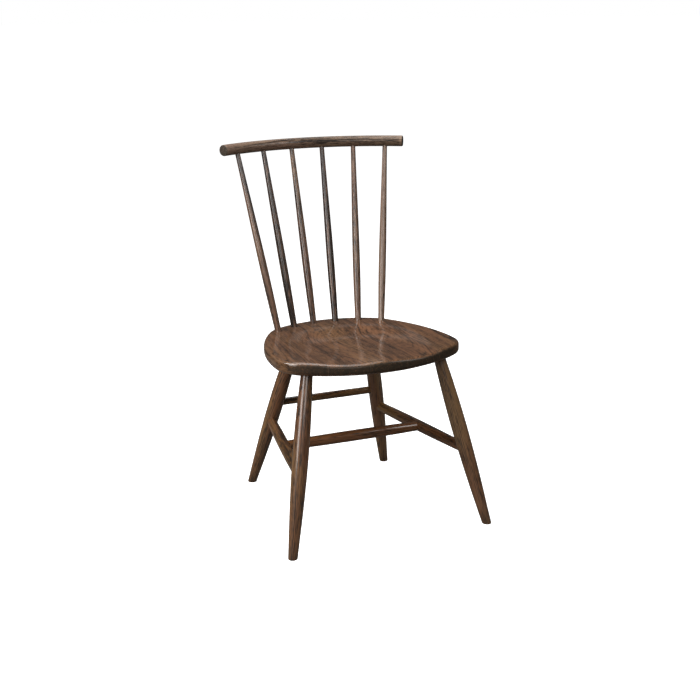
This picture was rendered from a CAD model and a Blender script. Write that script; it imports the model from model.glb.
"""Side chair in dark-stained, open-grained wood under semi-gloss lacquer: the finish of its twenty pieces.

Metres, in the frame of the packed model: +Z is up and the chair faces -Y.
"""

from math import atan2, cos, pi, radians, sin, sqrt, tan
from types import SimpleNamespace
from typing import NamedTuple

import bmesh
import bpy
from bpy.props import FloatProperty, FloatVectorProperty, IntProperty, PointerProperty
from mathutils import Matrix, Vector


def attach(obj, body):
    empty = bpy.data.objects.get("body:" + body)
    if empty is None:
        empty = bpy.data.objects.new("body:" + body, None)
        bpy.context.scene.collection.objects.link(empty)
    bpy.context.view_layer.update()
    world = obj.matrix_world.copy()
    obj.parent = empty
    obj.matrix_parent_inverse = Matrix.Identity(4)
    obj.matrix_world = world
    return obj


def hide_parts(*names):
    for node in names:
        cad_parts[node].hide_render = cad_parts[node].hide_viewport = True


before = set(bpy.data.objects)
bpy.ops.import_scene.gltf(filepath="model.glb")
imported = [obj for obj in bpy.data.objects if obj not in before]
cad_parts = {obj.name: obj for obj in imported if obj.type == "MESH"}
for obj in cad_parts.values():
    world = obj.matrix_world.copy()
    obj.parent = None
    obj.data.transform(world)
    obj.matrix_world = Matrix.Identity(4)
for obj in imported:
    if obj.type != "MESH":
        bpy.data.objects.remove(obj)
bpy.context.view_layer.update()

bl_info = {
    "name": "Side chair",
    "version": (1, 0, 0),
    "blender": (4, 5, 0),
    "location": "View3D > Sidebar > Side chair",
    "description": "Spindle-back side chair with a saddled plank seat, in stained and lacquered wood",
    "category": "Add Mesh",
}

MM = 0.001
SIDES = {"left": -1, "right": 1}

# Finish of the meshes: points nearer than this are one, and edges sharper than this stay sharp
MERGE_DISTANCE = 0.001 * MM
SHARP_ANGLE = radians(35)

# Rings along a stick's mesh and sides round it
LEG_MESH = {"Rings": 150, "Sides": 64}
STRETCHER_MESH = {"Rings": 90, "Sides": 48}
SPINDLE_MESH = {"Rings": 110, "Sides": 40}
CREST_MESH = {"Rings": 260, "Sides": 64}

# Steps in the seat's mesh: along its edge, from its middle to its edge and round each rounding
EDGE_STEP = 4.0 * MM
INNER_STEPS = 56
ROUND_STEPS = 10

# More rows of that mesh: shares of the way down the edge, in along the bevel and out under the seat
BAND_SHARES = (0.25, 0.5, 0.75)
BEVEL_SHARES = (0.6, 0.8, 0.985)
UNDER_SHARES = (0.75, 0.5, 0.25)

# First row of the flat underside, measured from the bevel
BEVEL_MARGIN = 1.0 * MM

# A piece's number sets where in the wood it is cut from. These are the first of each kind.
FIRST_BOARD = 1.0
FIRST_LEG = 11.0
FIRST_STRETCHER = 21.0
FIRST_SPINDLE = 31.0
CREST_RAIL = 41.0

# How much darker than usual the wood of a stick is. Below zero it is paler.
LEG_SHADES = {"front_left": 0.0, "front_right": -0.15, "rear_left": 0.0, "rear_right": -0.15}
SPINDLE_SHADES = (0.15, 0.35, 0.2, 0.5, -0.2, -0.6)
CREST_SHADES = {"Left Shade": -0.35, "Middle Shade": 0.12, "Right Shade": 0.08}

# Soft lamps that face a point of the chair: place and size in metres, and power in watts
LAMP_TARGET = (0.0, 0.0, 0.5)
LAMPS = {
    "Overhead": ((-0.4, -0.1, 3.0), (1.6, 1.6), 38.0),
    "Left": ((-2.2, -0.1, 2.6), (2.0, 1.2), 90.0),
    "Low left": ((-2.16, -0.92, 1.1), (0.9, 0.9), 17.0),
    "Right": ((1.9, -1.7, 2.5), (1.4, 1.2), 28.0),
    "Front": ((-0.7, -3.0, 2.1), (1.6, 1.6), 26.0),
    "High back": ((0.4, 1.5, 3.2), (1.4, 1.0), 17.0),
    "Back": ((1.05, 3.0, 1.68), (0.7, 0.5), 0.2),
}
WHITE = (1.0, 1.0, 1.0, 1.0)

# Half the breadth of the floor, the camera's sensor in millimetres and how far the camera sees
FLOOR_REACH = 60.0
SENSOR_WIDTH = 36.0
SIGHT = 200.0


def length(name, description, millimetres):
    """A size that the panel shows as a length."""
    default = millimetres * MM
    return FloatProperty(name=name, description=description, default=default, unit="LENGTH", precision=4)


def number(name, description, default):
    """A plain number."""
    return FloatProperty(name=name, description=description, default=default, precision=4)


def share(name, description, default):
    """A share from nothing to all."""
    return FloatProperty(
        name=name, description=description, default=default, min=0.0, max=1.0, subtype="FACTOR"
    )


def angle(name, description, degrees):
    """An angle, given in degrees."""
    return FloatProperty(name=name, description=description, default=radians(degrees), subtype="ANGLE")


def place(name, description, millimetres):
    """A point in the frame of the chair."""
    default = [value * MM for value in millimetres]
    return FloatVectorProperty(
        name=name, description=description, default=default, unit="LENGTH", precision=4
    )


def colour(name, description, default):
    """A linear colour."""
    return FloatVectorProperty(
        name=name, description=description, default=default, subtype="COLOR", size=3, min=0.0, max=1.0
    )


class SeatSizes(bpy.types.PropertyGroup):
    """Sizes of the saddled plank seat. Its own plane is the rim, which slopes down to the back."""

    rim_height: length("Rim height", "Height of the rim in the middle of the chair", 456)
    slope: angle("Slope", "Fall to the back", 1.3)
    thickness: length("Thickness", "From the rim to the underside", 38)
    width: length("Width", "Across the widest part", 490)
    front_y: length("Front", "Foremost point of the outline", -267.5)
    back_y: length("Back", "Rearmost point of the outline", 198)
    widest_y: length("Widest", "Where the seat is widest", -125)
    front_radius: length("Front radius", "Bow of the front edge", 357)
    side_radius: length("Side radius", "Bow of the sides", 470)
    back_radius: length("Back radius", "Bow of the back edge", 270)
    front_corner: length("Front corner", "Radius of the front corners", 80)
    back_corner: length("Back corner", "Radius of the back corners", 110)
    top_rounding: length("Top rounding", "Radius round the upper edge", 10)
    edge_height: length("Edge height", "From the rim down to the bevel below", 28.5)
    bevel_width: length("Bevel width", "Bevel under the edge, measured on the underside", 24)
    arris_rounding: length("Arris rounding", "Radius where the edge turns into the bevel", 12)
    saddle_depth: length("Saddle depth", "Depth of the bowl", 13)
    saddle_half_width: length("Saddle half width", "From the middle to where the bowl runs out", 202)
    saddle_back: length("Saddle back", "Where the bowl runs out behind", 130)
    saddle_bowl: length("Bowl start", "Where the round back of the bowl starts", -100)
    saddle_deepest: length("Deepest", "Where the bowl is deepest", 40)
    saddle_floor: share("Bowl floor", "Share of the bowl that is flat", 0.42)
    saddle_edge: share("Bowl edge", "Where the sides of the bowl run out", 0.94)
    saddle_knee: share("Edge knee", "Share of the side after which it turns over to its edge", 0.7)
    saddle_roundness: number("Bowl roundness", "2 is an ellipse, more is squarer", 2.5)
    saddle_front: length("Front depth", "Depth at the front edge", 5.5)
    pommel_height: length("Pommel height", "Rise in the middle of the front", 4)
    pommel_half_width: length("Pommel half width", "Half the breadth of that rise", 50)
    boards: IntProperty(name="Boards", description="Boards that the seat is glued up from", default=5)


class LegSizes(bpy.types.PropertyGroup):
    """Sizes of the turned legs. Places are on the right-hand side."""

    front_foot: place("Front foot", "Where a front leg meets the floor", (264.3, -288, 0))
    front_socket: place(
        "Front socket", "Where a front leg meets the underside, in the seat's plane", (178.7, -173.5, 0)
    )
    rear_foot: place("Rear foot", "Where a rear leg meets the floor", (201, 219, 0))
    rear_socket: place(
        "Rear socket", "Where a rear leg meets the underside, in the seat's plane", (108.5, 109, 0)
    )
    foot_radius: length("Foot radius", "Radius at the floor", 11.63)
    foot_taper: number("Foot taper", "Growth of the radius at the floor", 0.0515)
    foot_easing: length("Foot easing", "Eased edge at the floor", 1)
    swell_radius: length("Swell radius", "Largest radius", 20)
    swell_rise: length("Swell rise", "From the floor to the swell", 275)
    neck_radius: length("Neck radius", "Radius at the seat", 15)
    neck_taper: number("Neck taper", "Growth of the radius at the seat", -0.055)
    neck_length: length("Neck length", "Straight part below the seat", 8)
    tenon_length: length("Tenon length", "How far the leg goes into the seat", 24)
    soiled_length: length("Soiled length", "Over which a leg darkens towards its ends", 60)


class StretcherSizes(bpy.types.PropertyGroup):
    """Sizes of the stretchers between the legs."""

    side_height: length("Side height", "Height of the side stretchers", 191.5)
    back_height: length("Back height", "Height of the back stretcher", 244.8)
    end_radius: length("End radius", "Radius at the legs", 12.5)
    swell_radius: length("Swell radius", "Radius in the middle", 14.75)
    back_end_radius: length("Back end radius", "Radius of the back stretcher at the legs", 9.8)
    back_swell_radius: length("Back swell radius", "Radius of the back stretcher in the middle", 10.2)


class BackSizes(bpy.types.PropertyGroup):
    """Sizes of the spindles and of the bent rail that they carry."""

    base_radius: length("Base arc", "Radius of the row of spindles on the seat", 254)
    base_y: length("Base back", "Rearmost point of that row", 166.5)
    base_spacing: length("Base spacing", "Between spindles on the seat", 63.3)
    top_spacing: length("Top spacing", "Between spindles at the rail", 87.3)
    pairs: IntProperty(name="Pairs", description="Pairs of spindles", default=3)
    foot_radius: length("Foot radius", "Radius of a spindle at the seat", 8.5)
    belly_radius: length("Belly radius", "Largest radius of a spindle", 9.3)
    belly_rise: length("Belly rise", "From the seat to the belly", 60)
    tip_radius: length("Tip radius", "Radius of a spindle at the rail", 6.3)
    tip_taper: number("Tip taper", "Growth of the radius at the rail", -0.0075)
    neck_length: length("Neck length", "Straight part at both ends", 4)
    seat_depth: length("Seat depth", "How far a spindle goes into the seat", 24)
    rail_depth: length("Rail depth", "How far a spindle goes into the rail", 18)
    rail_height: length("Rail height", "Height of the middle of the rail", 921.3)
    rail_radius: length("Rail radius", "Radius of the round rail", 14.5)
    rail_bend: length("Rail bend", "Radius that the rail is bent to", 480)
    rail_y: length("Rail back", "Rearmost point of the rail's middle", 285)
    rail_length: length("Rail length", "Length along the bend", 534.5)
    rail_rounding: length("Rail rounding", "Rounded edge of the ends", 3)
    rail_end_grain: length("Rail end grain", "Length of the rail's darker ends", 2.2)


class WoodFinish(bpy.types.PropertyGroup):
    """Stain, grain and lacquer."""

    light: colour("Light stain", "Stain on the dense late wood", (0.158, 0.073, 0.036))
    golden: colour("Golden stain", "Stain where the wood is yellower", (0.186, 0.104, 0.045))
    dark: colour("Dark stain", "Stain in the open early wood", (0.019, 0.0108, 0.0064))
    pore: colour("Pores", "Stain that has settled in the pores", (0.006, 0.0035, 0.0025))
    worn: colour("Worn edges", "Wood where the stain has rubbed thin", (0.210, 0.140, 0.095))
    end_grain: colour("End grain", "Stain on cut ends", (0.024, 0.0195, 0.0135))
    gloss: share("Roughness", "Roughness of the stained wood", 0.38)
    polish: share("Coat roughness", "Roughness of the clear coat", 0.13)


class StudioSettings(bpy.types.PropertyGroup):
    """Camera, light and floor."""

    camera: place("Camera", "Where the camera stands", (-1154.9, -2815.7, 1300.3))
    azimuth: angle("Azimuth", "Round the chair", -22.55)
    elevation: angle("Elevation", "Above level", 16.17)
    roll: angle("Roll", "Tilt of the picture", -0.33)
    lens: number("Lens", "Focal length in millimetres", 62.68)
    shift_x: number("Shift X", "Sideways shift of the picture", -0.0038)
    shift_y: number("Shift Y", "Upward shift of the picture", -0.0010)
    floor_colour: colour("Floor", "Plain pale floor", (0.75, 0.75, 0.75))
    floor_glow: number("Floor glow", "Light of the floor itself, which keeps its shadows faint", 1.0)
    floor_bounce: colour("Floor bounce", "The floor as the chair's surfaces see it", (0.13, 0.118, 0.105))
    fill: number("Fill", "Light of the room on the chair", 0.05)


def arithmetic(operation, swapped=False):
    """A wire's method for one arithmetic sign, swapped where the wire stands to the right of it."""

    def method(self, other):
        values = (other, self) if swapped else (self, other)
        return self.add("ShaderNodeMath", {"operation": operation}, dict(enumerate(values)))

    return method


class Wire:
    """An output socket of a node tree. Arithmetic on it adds the nodes that work it out."""

    __add__ = __radd__ = arithmetic("ADD")
    __sub__ = arithmetic("SUBTRACT")
    __rsub__ = arithmetic("SUBTRACT", swapped=True)
    __mul__ = __rmul__ = arithmetic("MULTIPLY")
    __truediv__ = arithmetic("DIVIDE")
    __rtruediv__ = arithmetic("DIVIDE", swapped=True)
    __pow__ = arithmetic("POWER")

    def __init__(self, tree, socket=None):
        self.tree = tree
        self.socket = socket

    def add(self, kind, settings=None, sockets=None, output=0):
        """Add a node, set its settings and then its sockets, and return one of its outputs."""
        node = self.tree.nodes.new(kind)
        for name, value in (settings or {}).items():
            setattr(node, name, value)
        for key, value in (sockets or {}).items():
            if isinstance(value, Wire):
                self.tree.links.new(value.socket, node.inputs[key])
            else:
                node.inputs[key].default_value = value
        return Wire(self.tree, node.outputs[output])

    def math(self, operation, *values):
        """A Math node on this value and others."""
        return self.add("ShaderNodeMath", {"operation": operation}, dict(enumerate((self, *values))))

    def clamped(self):
        """This value, held between 0 and 1."""
        return self.add("ShaderNodeMath", {"operation": "MULTIPLY", "use_clamp": True}, {0: self, 1: 1.0})

    def vector(self, operation, *values, output=0):
        """A Vector Math node on this vector and others."""
        sockets = dict(enumerate((self, *values)))
        return self.add("ShaderNodeVectorMath", {"operation": operation}, sockets, output)

    def scaled(self, factor):
        """This vector times a number."""
        return self.add("ShaderNodeVectorMath", {"operation": "SCALE"}, {0: self, "Scale": factor})

    def dot(self, other):
        """Dot product of two vectors."""
        return self.vector("DOT_PRODUCT", other, output=1)

    def part(self, axis):
        """One part of a vector."""
        return self.add("ShaderNodeSeparateXYZ", None, {0: self}, output=axis)

    def combined(self, *parts):
        """A vector in this tree from its parts. Those left out are zero."""
        return self.add("ShaderNodeCombineXYZ", None, dict(enumerate(parts)))

    def between(self, low, high):
        """A smooth step from 0 at low to 1 at high."""
        sockets = {0: self, 1: low, 2: high}
        return self.add("ShaderNodeMapRange", {"interpolation_type": "SMOOTHSTEP"}, sockets)

    def blend(self, under, over):
        """A mix of two colours, by this value."""
        settings = {"data_type": "RGBA", "clamp_factor": True}
        return self.add("ShaderNodeMix", settings, {0: self, 6: under, 7: over}, output=2)


# Shapes that follow a rule

def new_shape_tree(name, inputs):
    """A node tree that makes geometry, with named inputs listed by kind, and a wire from each of them."""
    tree = bpy.data.node_groups.new(name, "GeometryNodeTree")
    labels = []
    for kind, group in inputs.items():
        for label in group:
            tree.interface.new_socket(label, in_out="INPUT", socket_type=f"NodeSocket{kind}")
            labels.append(label)
    tree.interface.new_socket("Geometry", in_out="OUTPUT", socket_type="NodeSocketGeometry")
    entry = tree.nodes.new("NodeGroupInput")
    wires = {label.lower().replace(" ", "_"): Wire(tree, entry.outputs[label]) for label in labels}
    return tree, SimpleNamespace(**wires)


def store(geometry, name, value, kind="FLOAT"):
    """Keep a value on every point of a geometry under a name."""
    settings = {"data_type": kind, "domain": "POINT"}
    sockets = {0: geometry, "Name": name, "Value": value}
    return geometry.add("GeometryNodeStoreNamedAttribute", settings, sockets)


def end_shape_tree(geometry, material):
    """Realize the geometry, give it its material and hand it out."""
    real = geometry.add("GeometryNodeRealizeInstances", None, {0: geometry})
    painted = real.add("GeometryNodeSetMaterial", None, {0: real, "Material": material})
    way_out = geometry.tree.nodes.new("NodeGroupOutput")
    geometry.tree.links.new(painted.socket, way_out.inputs[0])


def hermite(step, run, start, start_slope, end, end_slope):
    """Cubic between two values with given slopes, where step goes from 0 to 1 along run."""
    square = step * step
    cube = square * step
    rise = (end - start) * (3.0 * square - 2.0 * cube)
    lift = run * start_slope * (cube - 2.0 * square + step)
    drop = run * end_slope * (cube - square)
    return start + rise + lift + drop


def ease(step):
    """Ease from 0 to 1 with level ends."""
    step = step.clamped()
    return step**3.0 * (10.0 + step * (6.0 * step - 15.0))


def swept_rings(start, end, rings, bend=None):
    """A line of points from start to end, closer together at its ends, moved onto a bend if one is given."""
    line = start.add("GeometryNodeCurvePrimitiveLine", None, {"Start": start, "End": end})
    points = line.add("GeometryNodeResampleCurve", None, {0: line, "Count": rings})
    step = line.add("GeometryNodeSplineParameter")
    eased = step * step * (3.0 - 2.0 * step)
    centre = bend(eased) if bend else start.vector("ADD", end.vector("SUBTRACT", start).scaled(eased))
    return points.add("GeometryNodeSetPosition", None, {0: points, "Position": centre})


def swept_skin(path, radius, sides):
    """A round skin of a given radius along a path, closed at both ends."""
    circle = path.add("GeometryNodeCurvePrimitiveCircle", None, {"Resolution": sides, "Radius": 1.0})
    sockets = {"Curve": path, "Profile Curve": circle, "Scale": radius, "Fill Caps": True}
    return path.add("GeometryNodeCurveToMesh", None, sockets)


def turned_stick_tree():
    """A stick turned on a lathe: two tapers that meet in a swell, with a foot that can be cut level."""
    tree, given = new_shape_tree("Turned stick", {
        "Vector": ("Start", "End"),
        "Float": (
            "Start Radius", "Start Taper", "Swell Radius", "Swell Place", "End Radius", "End Taper",
            "Turning Start", "Turning End", "Level Foot", "Foot Easing", "Piece", "Shade",
        ),
        "Int": ("Rings", "Sides"),
        "Material": ("Material",),
    })
    start = given.start
    along = given.end.vector("SUBTRACT", start).vector("NORMALIZE")
    path = swept_rings(start, given.end, given.rings)

    # Radius: a clamped cubic through the start, the swell and the end, with one slope at the swell
    distance = path.add("GeometryNodeSplineParameter", output=1)
    swell = given.swell_radius
    first_run = given.swell_place - given.turning_start
    second_run = given.turning_end - given.swell_place
    first_rise = swell - given.start_radius
    second_rise = given.end_radius - swell
    pull = 3.0 * (first_rise / (first_run * first_run) + second_rise / (second_run * second_run))
    hold = given.start_taper / first_run + given.end_taper / second_run
    slope = (pull - hold) / (2.0 * (1.0 / first_run + 1.0 / second_run))
    first_step = ((distance - given.turning_start) / first_run).clamped()
    second_step = ((distance - given.swell_place) / second_run).clamped()
    lower = hermite(first_step, first_run, given.start_radius, given.start_taper, swell, slope)
    upper = hermite(second_step, second_run, swell, slope, given.end_radius, given.end_taper)
    easing = (given.foot_easing - distance).math("MAXIMUM", 0.0)
    skin = swept_skin(path, lower + upper - swell - easing, given.sides)

    # Where a point is in the stick: across, across and along
    position = skin.add("GeometryNodeInputPosition").vector("SUBTRACT", start)
    across = along.vector("CROSS_PRODUCT", skin.combined(0.0, 0.0, 1.0)).vector("NORMALIZE")
    third = along.vector("CROSS_PRODUCT", across)
    run = position.dot(along)
    grain = skin.combined(position.dot(across), position.dot(third), run)
    skin = store(skin, "grain", grain, "FLOAT_VECTOR")
    whole = given.end.vector("DISTANCE", start, output=1)
    skin = store(skin, "reach", run.math("MINIMUM", whole - run))
    skin = store(skin, "piece", given.piece)
    skin = store(skin, "shade", given.shade)

    # Foot: points slide along the stick until the first ring lies level
    sliding_run = 40.0 * MM
    offset = position.vector("SUBTRACT", along.scaled(run))
    level = (1.0 - run.between(0.0, sliding_run)) * given.level_foot
    slide = level * offset.part(2) / along.part(2)
    skin = skin.add("GeometryNodeSetPosition", None, {0: skin, "Offset": along.scaled(0.0 - slide)})
    end_shape_tree(skin, given.material)
    return tree


def bent_rail_tree():
    """A round rail bent to a level arc, with rounded ends and a shade that changes from left to right."""
    tree, given = new_shape_tree("Bent rail", {
        "Vector": ("Apex",),
        "Float": (
            "Bend Radius", "Length", "Rail Radius", "End Rounding", "Piece",
            "Left Shade", "Middle Shade", "Right Shade",
        ),
        "Int": ("Rings", "Sides"),
        "Material": ("Material",),
    })
    apex = given.apex
    bend_radius = given.bend_radius
    bend_y = apex.part(1) - bend_radius

    def bend(eased):
        turn = (eased - 0.5) * given.length / bend_radius
        x = turn.math("SINE") * bend_radius
        y = turn.math("COSINE") * bend_radius + bend_y
        return apex.combined(x, y, apex.part(2))

    far = apex.vector("ADD", apex.combined(given.length))
    path = swept_rings(apex, far, given.rings, bend)
    distance = path.add("GeometryNodeSplineParameter", output=1)
    rounding = given.end_rounding
    inside = rounding - distance.math("MINIMUM", given.length - distance).math("MINIMUM", rounding)
    fall = rounding - (rounding * rounding - inside * inside).math("MAXIMUM", 0.0).math("SQRT")
    skin = swept_skin(path, given.rail_radius - fall, given.sides)

    # Where a point is in the rail, as if it were straight
    position = skin.add("GeometryNodeInputPosition")
    x = position.part(0)
    y = position.part(1) - bend_y
    run = x.math("ARCTAN2", y) * bend_radius
    outward = (x * x + y * y).math("SQRT") - bend_radius
    upward = position.part(2) - apex.part(2)
    skin = store(skin, "grain", skin.combined(outward, upward, run), "FLOAT_VECTOR")
    skin = store(skin, "reach", given.length / 2.0 - run.math("ABSOLUTE"))
    skin = store(skin, "piece", given.piece)

    # Shade: from the left end to the middle, and on to the right end
    aside = run / (given.length / 2.0)
    leftward = aside.math("MINIMUM", 0.0) * (given.middle_shade - given.left_shade)
    rightward = aside.math("MAXIMUM", 0.0) * (given.right_shade - given.middle_shade)
    skin = store(skin, "shade", given.middle_shade + leftward + rightward)
    end_shape_tree(skin, given.material)
    return tree


def saddle_tree():
    """Hollows a flat seat blank to its saddle and lays it on the slope of the rim."""
    tree, given = new_shape_tree("Saddle", {
        "Geometry": ("Geometry",),
        "Float": (
            "Rim Height", "Slope", "Front", "Depth", "Half Width", "Back", "Bowl Start", "Deepest",
            "Floor Share", "Edge Share", "Edge Knee", "Roundness", "Front Depth",
            "Pommel Height", "Pommel Half Width",
        ),
        "Material": ("Material",),
    })
    blank = given.geometry
    position = blank.add("GeometryNodeInputPosition")
    x = position.part(0)
    y = position.part(1)
    top = blank.add("GeometryNodeInputNamedAttribute", {"data_type": "FLOAT"}, {"Name": "top"})

    # Depth of the bowl: flat in the middle, soft at the back, edged at the sides, shallower at the front
    across = x.math("ABSOLUTE") / given.half_width
    behind = ((y - given.bowl_start) / (given.back - given.bowl_start)).math("MAXIMUM", 0.0)
    roundness = given.roundness
    reach = (across**roundness + behind**roundness) ** (1.0 / roundness)
    beyond_floor = reach - given.floor_share
    soft_bowl = 1.0 - ease(beyond_floor / (1.0 - given.floor_share))
    step = (beyond_floor / (given.edge_share - given.floor_share)).clamped()
    knee = given.edge_knee
    inner = 1.0 - step * step / knee
    outer = (1.0 - step) * (1.0 - step) / (1.0 - knee)
    edged_bowl = inner + (outer - inner) * step.math("GREATER_THAN", knee)
    least_reach = 0.001
    sideways = (across / reach.math("MAXIMUM", least_reach)) ** roundness
    bowl = soft_bowl + (edged_bowl - soft_bowl) * sideways
    forward = ease((given.deepest - y) / (given.deepest - given.front))
    depth = given.depth + (given.front_depth - given.depth) * forward
    breadth = x / given.pommel_half_width
    pommel = given.pommel_height * (0.0 - breadth * breadth).math("EXPONENT") * forward
    hollow = (depth * bowl - pommel).math("MAXIMUM", 0.0) * top
    height = position.part(2) - hollow
    shaped = store(blank, "grain", blank.combined(x, height, y), "FLOAT_VECTOR")

    # Slope of the rim, and how far each face looks along the grain
    fall = given.slope.math("SINE")
    level = given.slope.math("COSINE")
    laid = blank.combined(x, y * level + height * fall, given.rim_height - y * fall + height * level)
    shaped = shaped.add("GeometryNodeSetPosition", None, {0: shaped, "Position": laid})
    facing = shaped.add("GeometryNodeInputNormal")
    shaped = store(shaped, "endwise", facing.part(1).math("ABSOLUTE"))
    end_shape_tree(shaped, given.material)
    return tree


def grown_mesh(name, tree, inputs, blank=None):
    """The plain mesh that a node tree makes from its inputs, and from a blank if it takes one."""
    carrier = bpy.data.objects.new(f"{name}_carrier", blank or bpy.data.meshes.new(name))
    bpy.context.scene.collection.objects.link(carrier)
    modifier = carrier.modifiers.new("Shape", "NODES")
    modifier.node_group = tree
    for item in tree.interface.items_tree:
        if item.in_out == "INPUT" and item.name in inputs:
            modifier[item.identifier] = inputs[item.name]
    depsgraph = bpy.context.evaluated_depsgraph_get()
    mesh = bpy.data.meshes.new_from_object(carrier.evaluated_get(depsgraph))
    bpy.data.objects.remove(carrier)
    if not mesh.polygons:
        raise RuntimeError(f"the node tree {tree.name} made nothing for {name}")
    return mesh


def finished_piece(node, mesh):
    """Put a mesh in the scene in place of a CAD node of the same shape."""
    work = bmesh.new()
    work.from_mesh(mesh)
    bmesh.ops.remove_doubles(work, verts=work.verts, dist=MERGE_DISTANCE)
    bmesh.ops.recalc_face_normals(work, faces=work.faces)
    work.to_mesh(mesh)
    work.free()
    mesh.shade_smooth()
    mesh.set_sharp_from_angle(angle=SHARP_ANGLE)
    piece = bpy.data.objects.new(f"finished_{node}", mesh)
    bpy.context.scene.collection.objects.link(piece)
    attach(piece, "root")
    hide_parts(node)


def grown_piece(node, tree, inputs):
    """Put what a node tree makes from its inputs in the scene in place of a CAD node."""
    finished_piece(node, grown_mesh(node, tree, inputs))


# Axes of the sticks

def on_seat(seat, x, y, height=0.0):
    """A point given in the plane of the rim, as a point of the chair."""
    fall = sin(seat.slope)
    level = cos(seat.slope)
    return Vector((x, y * level + height * fall, seat.rim_height - y * fall + height * level))


def leg_axes(legs, seat):
    """Each leg's axis, from the floor to the underside of the seat."""
    axes = {}
    for row, foot, socket in (
        ("front", legs.front_foot, legs.front_socket),
        ("rear", legs.rear_foot, legs.rear_socket),
    ):
        for name, side in SIDES.items():
            seat_end = on_seat(seat, side * socket[0], socket[1], -seat.thickness)
            axes[f"{row}_{name}"] = (Vector((side * foot[0], foot[1], 0.0)), seat_end)
    return axes


def stretcher_axes(stretchers, legs, seat):
    """Each stretcher's axis, between the axes of the sticks that carry it."""
    carriers = leg_axes(legs, seat)

    def at_height(leg, height):
        foot, seat_end = carriers[leg]
        return foot.lerp(seat_end, height / seat_end.z)

    axes = {}
    for name in SIDES:
        ends = [at_height(f"{row}_{name}", stretchers.side_height) for row in ("front", "rear")]
        axes[name] = tuple(ends)
    axes["back"] = tuple(at_height(f"rear_{name}", stretchers.back_height) for name in SIDES)
    axes["centre"] = tuple(axes[name][0].lerp(axes[name][1], 0.5) for name in SIDES)
    return axes


def spindle_axes(back, seat):
    """Each spindle's axis, from the rim of the seat to the middle of the rail."""

    def on_arc(distance, radius, rear):
        turn = distance / radius
        return radius * sin(turn), rear - radius * (1.0 - cos(turn))

    axes = []
    for index in range(2 * back.pairs):
        step = index - back.pairs + 0.5
        base = on_seat(seat, *on_arc(step * back.base_spacing, back.base_radius, back.base_y))
        top = Vector((*on_arc(step * back.top_spacing, back.rail_bend, back.rail_y), back.rail_height))
        axes.append((base, top))
    return axes


# Seat blank

def corner_centre(first, first_radius, second, second_radius, rear):
    """Middle of a rounded corner that touches two arcs from inside, on the right-hand side."""
    gap = second - first
    distance = gap.length
    along = (distance**2 + first_radius**2 - second_radius**2) / (2.0 * distance)
    aside = sqrt(first_radius**2 - along**2)
    across = Vector((-gap.y, gap.x)) / distance
    foot = first + gap * (along / distance)
    found = sorted((foot + across * aside, foot - across * aside), key=lambda point: point.y)
    return found[1] if rear else found[0]


def outline_points(seat, spacing):
    """Points round the seat's edge from the middle of the front, each with its outward direction."""
    front = Vector((0.0, seat.front_y + seat.front_radius))
    side = Vector((seat.width / 2.0 - seat.side_radius, seat.widest_y))
    back = Vector((0.0, seat.back_y - seat.back_radius))
    front_corner = corner_centre(
        front, seat.front_radius - seat.front_corner, side, seat.side_radius - seat.front_corner, rear=False
    )
    back_corner = corner_centre(
        back, seat.back_radius - seat.back_corner, side, seat.side_radius - seat.back_corner, rear=True
    )

    def heading(centre, corner):
        return atan2(corner.y - centre.y, corner.x - centre.x)

    turns = [-pi / 2.0, heading(front, front_corner), heading(side, front_corner)]
    turns += [heading(side, back_corner), heading(back, back_corner), pi / 2.0]
    arcs = (
        (front, seat.front_radius),
        (front_corner, seat.front_corner),
        (side, seat.side_radius),
        (back_corner, seat.back_corner),
        (back, seat.back_radius),
    )
    right = []
    for (centre, radius), start, end in zip(arcs, turns, turns[1:]):
        steps = max(2, round(radius * (end - start) / spacing))
        for step in range(steps):
            turn = start + (end - start) * step / steps
            outward = Vector((cos(turn), sin(turn)))
            right.append((centre + outward * radius, outward))
    last = (Vector((0.0, seat.back_y)), Vector((0.0, 1.0)))
    flip = Vector((-1.0, 1.0))
    left = [(point * flip, outward * flip) for point, outward in reversed(right[1:])]
    return [*right, last, *left]


def bevel_turn(seat):
    """Angle by which the edge turns in to the bevel."""
    return atan2(seat.bevel_width, seat.thickness - seat.edge_height)


def band_end(seat):
    """Height at which the upright band of the edge starts to turn in."""
    return seat.arris_rounding * tan(bevel_turn(seat) / 2.0) - seat.edge_height


def edge_profile(seat):
    """Insets and heights over the upper edge, down the side, round the arris and in along the bevel."""
    rounding = seat.top_rounding
    arris = seat.arris_rounding
    bevel_drop = seat.thickness - seat.edge_height
    turn_in = bevel_turn(seat)
    end = band_end(seat)
    profile = []
    for step in range(ROUND_STEPS + 1):
        turn = pi / 2.0 * step / ROUND_STEPS
        profile.append((rounding * (1.0 - sin(turn)), rounding * (cos(turn) - 1.0)))
    for share_down in BAND_SHARES:
        profile.append((0.0, -rounding + (end + rounding) * share_down))
    for step in range(ROUND_STEPS + 1):
        turn = turn_in * step / ROUND_STEPS
        profile.append((arris * (1.0 - cos(turn)), end - arris * sin(turn)))
    for share_in in BEVEL_SHARES:
        profile.append((seat.bevel_width * share_in, -seat.edge_height - bevel_drop * share_in))
    profile.append((seat.bevel_width + BEVEL_MARGIN, -seat.thickness))
    return profile


def saddle_share(seat, height):
    """Share of the saddle that a point takes: all above the upright band of the edge and none below it."""
    end = band_end(seat)
    return min(1.0, max(0.0, (height - end) / (-seat.top_rounding - end)))


def edge_wear(seat, height):
    """Wear of a point: most on the upper edge, half as much on the arris and none on the top."""
    if height >= -MERGE_DISTANCE:
        return 0.0
    upper_drop = 0.28 * seat.top_rounding
    upper_reach = 0.3 * seat.top_rounding
    lower_reach = 0.35 * seat.arris_rounding
    upper = max(0.0, 1.0 - abs(height + upper_drop) / upper_reach)
    lower = max(0.0, 1.0 - abs(height + seat.edge_height) / lower_reach)
    return max(upper, 0.5 * lower)


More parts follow.
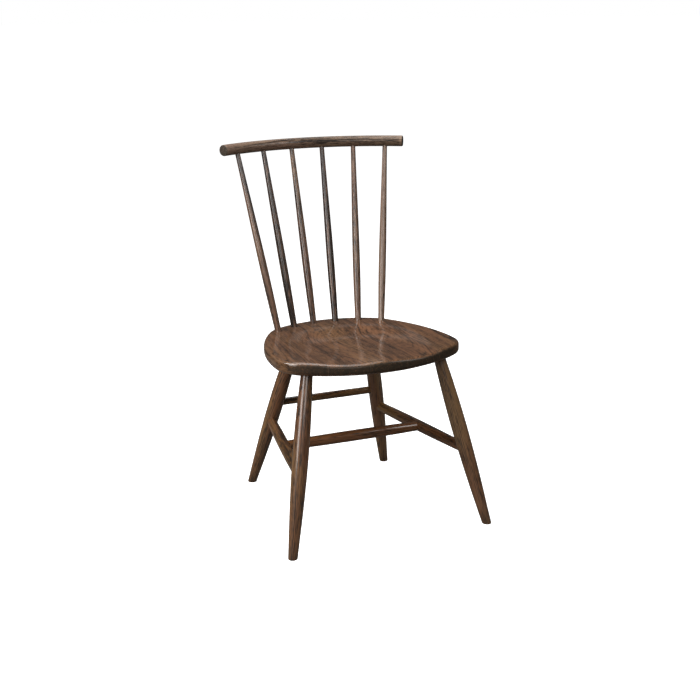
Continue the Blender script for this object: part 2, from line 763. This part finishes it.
def seat_blank(seat):
    """Mesh of the seat before it is saddled, with the share of the saddle and the wear of each point."""
    edge = outline_points(seat, EDGE_STEP)
    middle = Vector((0.0, (seat.front_y + seat.back_y) / 2.0))

    def ring(inset, height, share_out=1.0):
        return [(*middle.lerp(point - out * inset, share_out), height) for point, out in edge]

    profile = edge_profile(seat)
    under_inset = profile[-1][0]
    rings = [ring(seat.top_rounding, 0.0, step / INNER_STEPS) for step in range(1, INNER_STEPS)]
    rings += [ring(inset, height) for inset, height in profile]
    rings += [ring(under_inset, -seat.thickness, share_out) for share_out in UNDER_SHARES]

    count = len(edge)
    points = [(*middle, 0.0), *(point for row in rings for point in row), (*middle, -seat.thickness)]
    bottom = 1 + (len(rings) - 1) * count
    faces = []
    for index in range(count):
        following = (index + 1) % count
        faces.append((0, 1 + index, 1 + following))
        for start in range(1, bottom, count):
            below = start + count
            faces.append((start + index, below + index, below + following, start + following))
        faces.append((bottom + following, bottom + index, len(points) - 1))
    mesh = bpy.data.meshes.new("seat_blank")
    mesh.from_pydata(points, [], faces)
    for name, rule in (("top", saddle_share), ("wear", edge_wear)):
        attribute = mesh.attributes.new(name, "FLOAT", "POINT")
        attribute.data.foreach_set("value", [rule(seat, point[2]) for point in points])
    return mesh


def parted_board(mesh, low, high, piece_number):
    """The part of the seat between two glue lines, as a mesh of its own."""
    work = bmesh.new()
    work.from_mesh(mesh)
    for limit, keep in ((low, 1), (high, -1)):
        if limit is None:
            continue
        geometry = [*work.verts, *work.edges, *work.faces]
        plane = {"plane_co": (limit, 0.0, 0.0), "plane_no": (keep, 0.0, 0.0)}
        bmesh.ops.bisect_plane(work, geom=geometry, dist=MERGE_DISTANCE, clear_inner=True, **plane)
        bmesh.ops.holes_fill(work, edges=[edge for edge in work.edges if edge.is_boundary])
    board = bpy.data.meshes.new("board")
    work.to_mesh(board)
    work.free()
    sideways = [vertex.co.x for vertex in board.vertices]
    middle = (min(sideways) + max(sideways)) / 2.0
    count = len(board.vertices)
    grain = [0.0] * (3 * count)
    board.attributes["grain"].data.foreach_get("vector", grain)
    grain[0::3] = [value - middle for value in grain[0::3]]
    board.attributes["grain"].data.foreach_set("vector", grain)
    piece = board.attributes.new("piece", "FLOAT", "POINT")
    piece.data.foreach_set("value", [piece_number] * count)
    board.materials.append(mesh.materials[0])
    return board


# Stained wood

class Wood(NamedTuple):
    """How the wood of one kind of piece is cut, stained and finished.

    ring_width is the growth of one year and pith the distance to the middle of the tree. tone is how much of
    the light stain shows, warmth its saturation, contrast how strongly the grain shows and gold the share of
    yellower wood. lacquer is the weight of the clear coat, and sheen the shine of the wood under it.
    """

    ring_width: float
    pith: float
    tone: float
    warmth: float
    contrast: float
    sheen: float
    gold: float = 0.5
    lacquer: float = 0.9


SEAT_WOOD = Wood(3.2 * MM, 110.0 * MM, tone=0.56, warmth=1.0, contrast=1.4, sheen=0.12, gold=0.35)
LEG_WOOD = Wood(3.6 * MM, 34.0 * MM, tone=0.64, warmth=1.05, contrast=2.1, sheen=0.45, gold=1.0)
STRETCHER_WOOD = Wood(3.2 * MM, 30.0 * MM, tone=0.56, warmth=1.1, contrast=1.8, sheen=0.25, gold=1.0)
SPINDLE_WOOD = Wood(2.6 * MM, 24.0 * MM, tone=0.38, warmth=0.87, contrast=2.0, sheen=0.3)
CREST_WOOD = Wood(
    3.4 * MM, 28.0 * MM, tone=0.6, warmth=0.75, contrast=2.0, sheen=0.2, gold=0.8, lacquer=0.2
)

# Noises of the wood: repeats in a metre across the grain and along it, octaves, and roughness
NOISES = {
    "wander": (5.0, 1.6, 1.5, 0.5),
    "ripple": (60.0, 6.0, 2.0, 0.5),
    "broad": (38.0, 2.2, 2.0, 0.5),
    "streak": (150.0, 6.0, 3.0, 0.65),
    "fleck": (300.0, 45.0, 2.0, 0.6),
    "fibre": (900.0, 26.0, 2.0, 0.6),
    "pitting": (1300.0, 70.0, 1.0, 0.5),
    "yellowing": (16.0, 3.0, 2.0, 0.5),
    "speckle": (260.0, 60.0, 2.0, 0.7),
    "cloud": (7.0, 7.0, 3.0, 0.5),
    "haze": (24.0, 24.0, 3.0, 0.5),
    "rubbing": (55.0, 55.0, 3.0, 0.5),
}

# How strongly each stain covers the wood under it
COVER = {"pores": 0.8, "rubbed": 0.75, "band": 0.5, "soiled": 0.4, "seams": 0.22, "joints": 0.7}

# Reach of the stain from a cut end, a glue line and a joint, and the depth of the pores
END_EDGE = 0.4 * MM
LINE_START = 0.9 * MM
LINE_FULL = 0.2 * MM
JOINT_REACH = 4.0 * MM
PORE_DEPTH = 0.25 * MM

# How far the place in the wood, the lean, the rise and the years move from a piece's number to the next
PLACE_STEP = (0.71, 1.37, 2.93)
LEAN_STEP = 2.399
RISE_STEP = 4.1
YEAR_STEP = 17.0


def kept(wire, name, output=2):
    """What a mesh keeps under a name, or zero where it keeps nothing: output 1 is a vector, 2 a number."""
    return wire.add("ShaderNodeAttribute", {"attribute_name": name}, output=output)


def swing(noise, amount):
    """A noise that swings about zero instead of a half, times an amount."""
    return (noise - 0.5) * amount


def over(look, stain, amount):
    """A look with an amount of a stain over it."""
    return amount.blend(look, (*stain, 1.0))


def early_wood(marks, piece, wood):
    """How open the wood is: arcs of growth round a pith that lies to one side, draws away and wanders."""
    most_lean = 0.55 * wood.pith
    most_rise = 0.07
    wander = swing(marks.wander, 6.0 * wood.ring_width)
    ripple = swing(marks.ripple, 0.8 * wood.ring_width)
    rise = (piece * RISE_STEP).math("COSINE") * most_rise
    x = marks.grain.part(0) + (piece * LEAN_STEP).math("SINE") * most_lean
    y = marks.grain.part(1) + marks.grain.part(2) * rise + wood.pith
    years = ((x * x + y * y).math("SQRT") + wander + ripple) / wood.ring_width
    season = years.math("FRACT")
    year = years.math("FLOOR") + piece * YEAR_STEP
    strength = piece.add("ShaderNodeTexWhiteNoise", {"noise_dimensions": "1D"}, {"W": year})
    start = season.between(0.0, 0.06)
    rest = 1.0 - season.between(0.0, 0.55)
    return rest * start * (strength * 0.7 + 0.3)


def wood_marks(wire, wood):
    """The place of a point in its wood, and the marks that the wood has there."""
    marks = SimpleNamespace(grain=kept(wire, "grain", output=1), shade=kept(wire, "shade"))
    piece = kept(wire, "piece")
    spot = marks.grain.vector("ADD", wire.combined(*(piece * step for step in PLACE_STEP)))
    for name, (across, along, octaves, roughness) in NOISES.items():
        where = spot.vector("MULTIPLY", (across, across, along))
        sockets = {"Vector": where, "Scale": 1.0, "Detail": octaves, "Roughness": roughness}
        setattr(marks, name, wire.add("ShaderNodeTexNoise", None, sockets))
    marks.early = early_wood(marks, piece, wood)
    marks.pores = marks.pitting.between(0.60, 0.72) * (marks.early * 0.8 + 0.2)
    return marks


def stain_look(wire, marks, wood, finish):
    """Stain that is darker in open wood, yellower in places, clouded, and darkest in the pores."""
    fine = swing(marks.fleck, 1.3) + swing(marks.fibre, 0.7)
    figure = marks.early * 0.55 - 0.13 + swing(marks.streak, 1.4) + swing(marks.broad, 1.0) + fine
    open_wood = figure * wood.contrast + marks.shade + (1.0 - wood.tone)
    yellow = marks.yellowing.between(0.42, 0.66) * wood.gold
    bleached = (marks.shade * -0.8).math("MAXIMUM", 0.0)
    pale = over(over((*finish.light, 1.0), finish.golden, yellow), finish.worn, bleached)
    stain = over(pale, finish.dark, open_wood.clamped())
    sockets = {"Saturation": wood.warmth, "Value": marks.cloud * 0.5 + 0.75, "Color": stain}
    clouded = wire.add("ShaderNodeHueSaturation", None, sockets)
    return over(clouded, finish.pore, marks.pores * COVER["pores"])


def stained_wood(name, wood, finish, joints=(), seams=0.0, ends=0.0, soiled=0.0):
    """A material of stained, open-grained wood whose grain follows the piece.

    joints are the points where sticks go in, each with the stick's radius, seams half the width of a board,
    ends the length of darker ends, and soiled the length over which a piece darkens towards its ends.
    """
    material = bpy.data.materials.new(name)
    material.use_nodes = True
    tree = material.node_tree
    wire = Wire(tree)
    marks = wood_marks(wire, wood)
    look = stain_look(wire, marks, wood, finish)

    # Rubbed edges
    patches = marks.rubbing * 1.3 + marks.streak * 0.6 - 0.75
    rubbed = kept(wire, "wear") * patches.math("MAXIMUM", 0.0)
    look = over(look, finish.worn, rubbed * COVER["rubbed"])

    # Darker cut ends, with a paler band beside those of a stick, and soiled ends
    cut = kept(wire, "endwise").between(0.55, 0.88)
    if ends:
        reach = kept(wire, "reach")
        cut = 1.0 - reach.between(END_EDGE, ends)
        band = reach.between(0.6 * ends, 1.4 * ends) * (1.0 - reach.between(2.0 * ends, 5.0 * ends))
        look = over(look, finish.worn, band * COVER["band"])
    speckle = marks.speckle.between(0.48, 0.7)
    look = over(look, finish.end_grain, cut * (0.88 - speckle * 0.4 + marks.early * 0.2))
    if soiled:
        reach = kept(wire, "reach") + swing(marks.broad, 0.6 * soiled)
        near_end = 1.0 - reach.between(0.0, soiled)
        look = over(look, finish.dark, near_end * COVER["soiled"])

    # Glue lines, and stain that has gathered round the joints
    if seams:
        line = marks.grain.part(0).math("ABSOLUTE").between(seams - LINE_START, seams - LINE_FULL)
        look = over(look, finish.worn, line * COVER["seams"])
    if joints:
        where = wire.add("ShaderNodeTexCoord", output=3)
        gaps = [where.vector("DISTANCE", tuple(point), output=1) - radius for point, radius in joints]
        near = gaps[0]
        for gap in gaps[1:]:
            near = near.math("MINIMUM", gap)
        gathered = 1.0 - near.between(0.0, JOINT_REACH)
        look = over(look, finish.pore, gathered * COVER["joints"])

    # Lacquer: a little uneven, sunk into pores and cut ends, thin where it is rubbed
    uneven = swing(marks.haze, 0.12) + swing(marks.streak, 0.10)
    roughness = finish.gloss + uneven + marks.pores * 0.25 + rubbed * 0.1 + cut * 0.25
    coat = (wood.lacquer - rubbed * 0.25 - marks.pores * 0.4 - cut * 0.75).math("MAXIMUM", 0.0)
    height = swing(marks.fibre, 0.25) - marks.pores - marks.early * 0.35 + swing(marks.streak, 0.30)
    bump = wire.add("ShaderNodeBump", None, {"Strength": 0.35, "Distance": PORE_DEPTH, "Height": height})
    shader = tree.nodes["Principled BSDF"]
    varied = {"Base Color": look, "Roughness": roughness, "Coat Weight": coat, "Normal": bump}
    for socket, value in varied.items():
        tree.links.new(value.socket, shader.inputs[socket])
    shader.inputs["Coat Roughness"].default_value = finish.polish
    shader.inputs["Specular IOR Level"].default_value = wood.sheen
    return material


# Operators

class CHAIR_OT_seat(bpy.types.Operator):
    """Make the boards of the saddled seat"""

    bl_idname = "chair.seat"
    bl_label = "Seat boards"

    def execute(self, context):
        seat = context.scene.chair_seat
        back = context.scene.chair_back
        finish = context.scene.chair_finish
        board_width = seat.width / seat.boards
        bases = [(base, back.foot_radius) for base, top in spindle_axes(back, seat)]
        wood = stained_wood("Plank seat wood", SEAT_WOOD, finish, joints=bases, seams=board_width / 2.0)
        inputs = {
            "Rim Height": seat.rim_height, "Slope": seat.slope, "Front": seat.front_y,
            "Depth": seat.saddle_depth, "Half Width": seat.saddle_half_width, "Back": seat.saddle_back,
            "Bowl Start": seat.saddle_bowl, "Deepest": seat.saddle_deepest, "Floor Share": seat.saddle_floor,
            "Edge Share": seat.saddle_edge, "Edge Knee": seat.saddle_knee,
            "Roundness": seat.saddle_roundness, "Front Depth": seat.saddle_front,
            "Pommel Height": seat.pommel_height, "Pommel Half Width": seat.pommel_half_width,
            "Material": wood,
        }
        whole = grown_mesh("seat", saddle_tree(), inputs, seat_blank(seat))
        for index in range(seat.boards):
            left = index * board_width - seat.width / 2.0
            low = None if index == 0 else left
            high = None if index == seat.boards - 1 else left + board_width
            board = parted_board(whole, low, high, FIRST_BOARD + index)
            finished_piece(f"seat_board_{index + 1}", board)
        return {"FINISHED"}


class CHAIR_OT_legs(bpy.types.Operator):
    """Make the four turned legs"""

    bl_idname = "chair.legs"
    bl_label = "Legs"

    def execute(self, context):
        seat = context.scene.chair_seat
        legs = context.scene.chair_legs
        wood = stained_wood("Leg wood", LEG_WOOD, context.scene.chair_finish, soiled=legs.soiled_length)
        tree = turned_stick_tree()
        for index, (name, (foot, seat_end)) in enumerate(leg_axes(legs, seat).items()):
            run = (seat_end - foot).length
            inputs = {
                "Start": foot, "End": foot.lerp(seat_end, 1.0 + legs.tenon_length / run),
                "Start Radius": legs.foot_radius, "Start Taper": legs.foot_taper,
                "Swell Radius": legs.swell_radius, "Swell Place": legs.swell_rise,
                "End Radius": legs.neck_radius, "End Taper": legs.neck_taper,
                "Turning Start": 0.0, "Turning End": run - legs.neck_length,
                "Level Foot": 1.0, "Foot Easing": legs.foot_easing,
                "Piece": FIRST_LEG + index, "Shade": LEG_SHADES[name], "Material": wood, **LEG_MESH,
            }
            grown_piece(f"leg_{name}", tree, inputs)
        return {"FINISHED"}


class CHAIR_OT_stretchers(bpy.types.Operator):
    """Make the four stretchers"""

    bl_idname = "chair.stretchers"
    bl_label = "Stretchers"

    def execute(self, context):
        stretchers = context.scene.chair_stretchers
        axes = stretcher_axes(stretchers, context.scene.chair_legs, context.scene.chair_seat)
        wood = stained_wood("Stretcher wood", STRETCHER_WOOD, context.scene.chair_finish)
        tree = turned_stick_tree()
        for index, (name, (start, end)) in enumerate(axes.items()):
            run = (end - start).length
            thin = name == "back"
            end_radius = stretchers.back_end_radius if thin else stretchers.end_radius
            swell_radius = stretchers.back_swell_radius if thin else stretchers.swell_radius
            taper = 4.0 * (swell_radius - end_radius) / run
            inputs = {
                "Start": start, "End": end, "Start Radius": end_radius, "Start Taper": taper,
                "Swell Radius": swell_radius, "Swell Place": run / 2.0,
                "End Radius": end_radius, "End Taper": -taper, "Turning Start": 0.0, "Turning End": run,
                "Level Foot": 0.0, "Foot Easing": 0.0,
                "Piece": FIRST_STRETCHER + index, "Shade": 0.0, "Material": wood, **STRETCHER_MESH,
            }
            grown_piece(f"stretcher_{name}", tree, inputs)
        return {"FINISHED"}


class CHAIR_OT_spindles(bpy.types.Operator):
    """Make the six tapered spindles"""

    bl_idname = "chair.spindles"
    bl_label = "Spindles"

    def execute(self, context):
        back = context.scene.chair_back
        wood = stained_wood("Spindle wood", SPINDLE_WOOD, context.scene.chair_finish)
        tree = turned_stick_tree()
        for index, (base, top) in enumerate(spindle_axes(back, context.scene.chair_seat)):
            along = (top - base).normalized()
            start = base - along * back.seat_depth
            under_rail = (top - start).length - back.rail_radius
            inputs = {
                "Start": start, "End": start + along * (under_rail + back.rail_depth),
                "Start Radius": back.foot_radius, "Start Taper": 0.0,
                "Swell Radius": back.belly_radius, "Swell Place": back.seat_depth + back.belly_rise,
                "End Radius": back.tip_radius, "End Taper": back.tip_taper,
                "Turning Start": back.seat_depth + back.neck_length,
                "Turning End": under_rail - back.neck_length, "Level Foot": 0.0, "Foot Easing": 0.0,
                "Piece": FIRST_SPINDLE + index, "Shade": SPINDLE_SHADES[index],
                "Material": wood, **SPINDLE_MESH,
            }
            grown_piece(f"spindle_{index + 1}", tree, inputs)
        return {"FINISHED"}


class CHAIR_OT_crest_rail(bpy.types.Operator):
    """Make the bent crest rail"""

    bl_idname = "chair.crest_rail"
    bl_label = "Crest rail"

    def execute(self, context):
        back = context.scene.chair_back
        wood = stained_wood("Crest wood", CREST_WOOD, context.scene.chair_finish, ends=back.rail_end_grain)
        inputs = {
            "Apex": Vector((0.0, back.rail_y, back.rail_height)), "Bend Radius": back.rail_bend,
            "Length": back.rail_length, "Rail Radius": back.rail_radius, "End Rounding": back.rail_rounding,
            "Piece": CREST_RAIL, "Material": wood, **CREST_SHADES, **CREST_MESH,
        }
        grown_piece("crest_rail", bent_rail_tree(), inputs)
        return {"FINISHED"}


def soft_light(name, position, size, power):
    """A rectangular lamp that faces the chair."""
    lamp = bpy.data.lights.new(name, "AREA")
    lamp.shape = "RECTANGLE"
    lamp.size, lamp.size_y = size
    lamp.energy = power
    light = bpy.data.objects.new(name, lamp)
    light.location = position
    light.rotation_mode = "QUATERNION"
    light.rotation_quaternion = (Vector(LAMP_TARGET) - Vector(position)).to_track_quat("-Z", "Y")
    bpy.context.scene.collection.objects.link(light)


class CHAIR_OT_stage(bpy.types.Operator):
    """Make the floor, the light and the camera"""

    bl_idname = "chair.stage"
    bl_label = "Studio"

    def execute(self, context):
        studio = context.scene.chair_studio
        self.make_floor(context, studio)
        self.make_room(context, studio)
        for name, (position, size, power) in LAMPS.items():
            soft_light(name, position, size, power)
        self.make_camera(context, studio)
        context.scene.view_settings.view_transform = "Standard"
        return {"FINISHED"}

    def make_floor(self, context, studio):
        """A plain pale floor. The chair is lit as if it stood on a dull one, so its undersides stay dark."""
        mesh = bpy.data.meshes.new("floor")
        corners = [(x * FLOOR_REACH, y * FLOOR_REACH, 0.0) for x, y in ((-1, -1), (1, -1), (1, 1), (-1, 1))]
        mesh.from_pydata(corners, [], [(0, 1, 2, 3)])
        material = bpy.data.materials.new("Floor")
        material.use_nodes = True
        tree = material.node_tree
        seen = tree.nodes["Principled BSDF"]
        looks = {
            "Base Color": (*studio.floor_colour, 1.0), "Roughness": 1.0, "Specular IOR Level": 0.0,
            "Emission Color": WHITE, "Emission Strength": studio.floor_glow,
        }
        for socket, value in looks.items():
            seen.inputs[socket].default_value = value
        wire = Wire(tree)
        direct = wire.add("ShaderNodeLightPath")
        dull = wire.add("ShaderNodeBsdfDiffuse", None, {"Color": (*studio.floor_bounce, 1.0)})
        either = wire.add("ShaderNodeMixShader", None, {0: direct, 1: dull, 2: Wire(tree, seen.outputs[0])})
        tree.links.new(either.socket, tree.nodes["Material Output"].inputs["Surface"])
        mesh.materials.append(material)
        floor = bpy.data.objects.new("floor", mesh)
        context.scene.collection.objects.link(floor)

    def make_room(self, context, studio):
        """A white room all round, which gives the chair only a low fill."""
        world = bpy.data.worlds.new("Room")
        world.use_nodes = True
        tree = world.node_tree
        wire = Wire(tree)
        direct = wire.add("ShaderNodeLightPath")
        fill = wire.add("ShaderNodeBackground", None, {"Color": WHITE, "Strength": studio.fill})
        white = wire.add("ShaderNodeBackground", None, {"Color": WHITE, "Strength": 1.0})
        either = wire.add("ShaderNodeMixShader", None, {0: direct, 1: fill, 2: white})
        tree.links.new(either.socket, tree.nodes["World Output"].inputs["Surface"])
        context.scene.world = world

    def make_camera(self, context, studio):
        """The camera at the angle of the picture."""
        lens = bpy.data.cameras.new("Camera")
        lens.lens = studio.lens
        lens.sensor_width = SENSOR_WIDTH
        lens.shift_x = studio.shift_x
        lens.shift_y = studio.shift_y
        lens.clip_end = SIGHT
        camera = bpy.data.objects.new("Camera", lens)
        level = cos(studio.elevation)
        back = Vector((sin(studio.azimuth) * level, -cos(studio.azimuth) * level, sin(studio.elevation)))
        right = Vector((0.0, 0.0, 1.0)).cross(back).normalized()
        up = back.cross(right)
        turned_right = right * cos(studio.roll) + up * sin(studio.roll)
        turned_up = up * cos(studio.roll) - right * sin(studio.roll)
        turn = Matrix((turned_right, turned_up, back)).transposed()
        camera.matrix_world = Matrix.Translation(studio.camera) @ turn.to_4x4()
        context.scene.collection.objects.link(camera)
        context.scene.camera = camera


class CHAIR_PT_panel(bpy.types.Panel):
    """Sizes, finish and steps of the chair"""

    bl_idname = "CHAIR_PT_panel"
    bl_label = "Side chair"
    bl_space_type = "VIEW_3D"
    bl_region_type = "UI"
    bl_category = "Side chair"

    def draw(self, context):
        for step in STEPS:
            self.layout.operator(step.bl_idname)
        for attribute, group in SETTINGS.items():
            box = self.layout.box()
            box.label(text=group.__doc__)
            for name in group.__annotations__:
                box.prop(getattr(context.scene, attribute), name)


STEPS = (
    CHAIR_OT_seat,
    CHAIR_OT_legs,
    CHAIR_OT_stretchers,
    CHAIR_OT_spindles,
    CHAIR_OT_crest_rail,
    CHAIR_OT_stage,
)
SETTINGS = {
    "chair_seat": SeatSizes,
    "chair_legs": LegSizes,
    "chair_stretchers": StretcherSizes,
    "chair_back": BackSizes,
    "chair_finish": WoodFinish,
    "chair_studio": StudioSettings,
}


def register():
    """Make the classes and the settings known to Blender."""
    for group in SETTINGS.values():
        bpy.utils.register_class(group)
    for step in STEPS:
        bpy.utils.register_class(step)
    bpy.utils.register_class(CHAIR_PT_panel)
    for attribute, group in SETTINGS.items():
        setattr(bpy.types.Scene, attribute, PointerProperty(type=group))


def unregister():
    """Take the settings and the classes away again."""
    for attribute in SETTINGS:
        delattr(bpy.types.Scene, attribute)
    bpy.utils.unregister_class(CHAIR_PT_panel)
    for step in reversed(STEPS):
        bpy.utils.unregister_class(step)
    for group in reversed(SETTINGS.values()):
        bpy.utils.unregister_class(group)


def main():
    """Make every piece and the stage, and note the size of the dressed chair beside the CAD box."""
    register()
    for step in STEPS:
        family, name = step.bl_idname.split(".")
        getattr(getattr(bpy.ops, family), name)()


if __name__ == "__main__":
    main()
